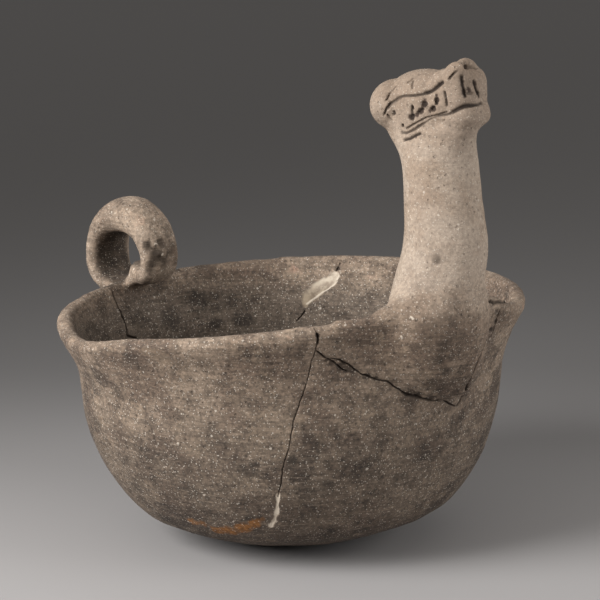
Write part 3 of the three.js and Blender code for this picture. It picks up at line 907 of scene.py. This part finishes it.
# Painted shade inside the tail's coil.
colour = blend(reckon("MULTIPLY", mark("soot"), 0.9), colour, "#3d3127")
colour = blend(mark("eroded"), colour, blend(rise(grit, 0.4, 0.7), "#6e5d4d", "#35291f"))
streaks = reckon("MULTIPLY", reckon("SUBTRACT", 1.0, pale_share), 0.65)
colour = blend(streaks, colour, blend(rise(wiping, 0.35, 0.65), "#979797", "#686868"), "OVERLAY")
scratches = rise(grains(0.007, 2, 0.5, stretch=(1, 1, 16)), 0.6, 0.7)
scratch_share = reckon("MULTIPLY", scratches, reckon("MULTIPLY", reckon("SUBTRACT", 1.0, pale_share), 0.3))
colour = blend(scratch_share, colour, "#b7a491")
grit_share = reckon("SUBTRACT", 0.75, reckon("MULTIPLY", pale_share, 0.3))
colour = blend(grit_share, colour, blend(rise(grit, 0.3, 0.7), "#525252", "#b0b0b0"), "OVERLAY")

fine_flecks = speckle(0.0008, 0.75, 0.0003, 0.0)
large_flecks = speckle(0.0028, 0.22, 0.0006, 3.1)
flecks = reckon("MAXIMUM", fine_flecks, large_flecks)
covered = reckon("MAXIMUM", reckon("MAXIMUM", mark("plaster"), mark("dirt")), mark("eroded"))
covered = reckon("MAXIMUM", covered, reckon("MULTIPLY", pale_share, 0.3))
fleck_share = reckon("MULTIPLY", reckon("MULTIPLY", flecks, reckon("SUBTRACT", 1.0, covered)), 0.46)
colour = blend(fleck_share, colour, "#ded3c4")
pits = speckle(0.0022, 0.5, 0.0007, 7.7)
pit_share = reckon("SUBTRACT", 0.5, reckon("MULTIPLY", pale_share, 0.25))
colour = blend(reckon("MULTIPLY", pits, pit_share), colour, "#33291f")
plaster_colour = blend(rise(middling, 0.42, 0.6), "#d6c8b5", "#ab9b89")
plaster_colour = blend(inside_share, plaster_colour, blend(rise(middling, 0.42, 0.58), "#93846f", "#6b5c4d"))
colour = blend(reckon("MULTIPLY", mark("plaster"), 0.85), colour, plaster_colour)
# Pale bits of shell, and a painted highlight along the plaster's raised edge.
colour = blend(reckon("MULTIPLY", mark("shell"), 0.7), colour, "#c9bcab")
# Dark pigment on the teeth, and painted shade in the hollows of the muzzle.
colour = blend(reckon("MULTIPLY", mark("pigment"), 0.9), colour, "#2e1e15")
# Dirt in the cracks and lines, and painted shade under the nose and at the foot of the front teeth.
colour = blend(mark("dirt"), colour, "#2a1f16")

height = reckon("MULTIPLY", grit, 0.00022)
height = reckon("ADD", height, reckon("MULTIPLY", middling, 0.0004))
height = reckon("ADD", height, reckon("MULTIPLY", wiping, 0.00025))
height = reckon("SUBTRACT", height, reckon("MULTIPLY", pits, 0.00025))
height = reckon("ADD", height, reckon("MULTIPLY", flecks, 0.00005))
relief = add_node(tree, "ShaderNodeBump", {"Strength": 1.0, "Distance": 1.0}, {"Height": height}).outputs[0]
gloss = add_node(
    tree,
    "ShaderNodeMapRange",
    {"To Min": 0.78, "To Max": 0.95},
    {"Value": grit},
).outputs["Result"]
shader = add_node(
    tree,
    "ShaderNodeBsdfPrincipled",
    {"IOR": 1.45},
    {"Base Color": colour, "Roughness": gloss, "Normal": relief},
)
add_node(tree, "ShaderNodeOutputMaterial", links={"Surface": shader.outputs["BSDF"]})
clay_mesh.materials.append(earthenware)

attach(vessel, "root")
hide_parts("effigy_bowl")


# The table and the light
# A sweep of grey paper, lit by one large soft light from the upper left, a weak one from the right and the
# room itself. The paper's colour is painted paler towards the camera and darker behind the bowl: painted
# light fall-off and painted shade.
FLOOR_REACH = 6
floor_mesh = bpy.data.meshes.new("floor")
floor_mesh.from_pydata(
    [(x * FLOOR_REACH, y * FLOOR_REACH, 0) for x, y in ((-1, -1), (1, -1), (1, 1), (-1, 1))],
    [],
    [(0, 1, 2, 3)],
)
floor = bpy.data.objects.new("floor", floor_mesh)
bpy.context.scene.collection.objects.link(floor)
paper = bpy.data.materials.new("matt_paper")
paper.use_nodes = True
paper_shader = paper.node_tree.nodes["Principled BSDF"]
paper_shader.inputs["Roughness"].default_value = 0.8
PAINTED_FALLOFF_BACK, PAINTED_FALLOFF_FRONT = -0.33, 0.10
paper_nodes = paper.node_tree
spot = add_node(paper_nodes, "ShaderNodeTexCoord").outputs["Object"]
along_view = {"operation": "DOT_PRODUCT", 1: view_front}
way = add_node(paper_nodes, "ShaderNodeVectorMath", along_view, {0: spot})
painted_falloff_grade = add_node(
    paper_nodes,
    "ShaderNodeMapRange",
    {"interpolation_type": "SMOOTHSTEP", "From Min": PAINTED_FALLOFF_BACK, "From Max": PAINTED_FALLOFF_FRONT},
    {"Value": way.outputs["Value"]},
)
# Painted light and shade: the paper's colour grades from dark behind the bowl to pale in front.
painted_falloff_tones = {"data_type": "RGBA", 6: linear("#646261"), 7: linear("#979493")}
painted_falloff_colour = add_node(paper_nodes, "ShaderNodeMix", painted_falloff_tones, {0: painted_falloff_grade.outputs["Result"]}).outputs[2]
paper_nodes.links.new(painted_falloff_colour, paper_shader.inputs["Base Color"])
floor_mesh.materials.append(paper)


def add_light(name, right, front, up, size, power, spread):
    """A square soft light, placed from the bowl's middle along the camera's right, front and up. A grid in
    front of it narrows its spread, in degrees."""
    light = bpy.data.lights.new(name, "AREA")
    light.size = size
    light.energy = power
    light.spread = math.radians(spread)
    lamp = bpy.data.objects.new(name, light)
    lamp.location = VIEW_CENTRE + right * view_right + front * view_front + Vector((0, 0, up))
    lamp.rotation_euler = (lamp.location - VIEW_CENTRE).to_track_quat("Z", "Y").to_euler()
    bpy.context.scene.collection.objects.link(lamp)


add_light("window", -0.64, 0.42, 0.38, 0.5, 3.15, 76)
add_light("fill", 0.72, 0.25, 0.2, 0.5, 1.0, 84)

# The room is dark at eye level and paler overhead, so the floor under the bowl's belly stays dark.
world = bpy.data.worlds.new("studio")
world.use_nodes = True
sky = world.node_tree
look = add_node(sky, "ShaderNodeTexCoord").outputs["Generated"]
look_up = add_node(sky, "ShaderNodeSeparateXYZ", links={"Vector": look}).outputs["Z"]
lift = add_node(
    sky,
    "ShaderNodeMapRange",
    {"interpolation_type": "SMOOTHSTEP", "From Min": 0.0, "From Max": 0.85},
    {"Value": look_up},
)
shades = {"data_type": "RGBA", 6: linear("#201f1e"), 7: linear("#bcbab8")}
shade = add_node(sky, "ShaderNodeMix", shades, {0: lift.outputs["Result"]}).outputs[2]
sky.links.new(shade, sky.nodes["Background"].inputs["Color"])
bpy.context.scene.world = world
bpy.context.scene.view_settings.view_transform = "Standard"
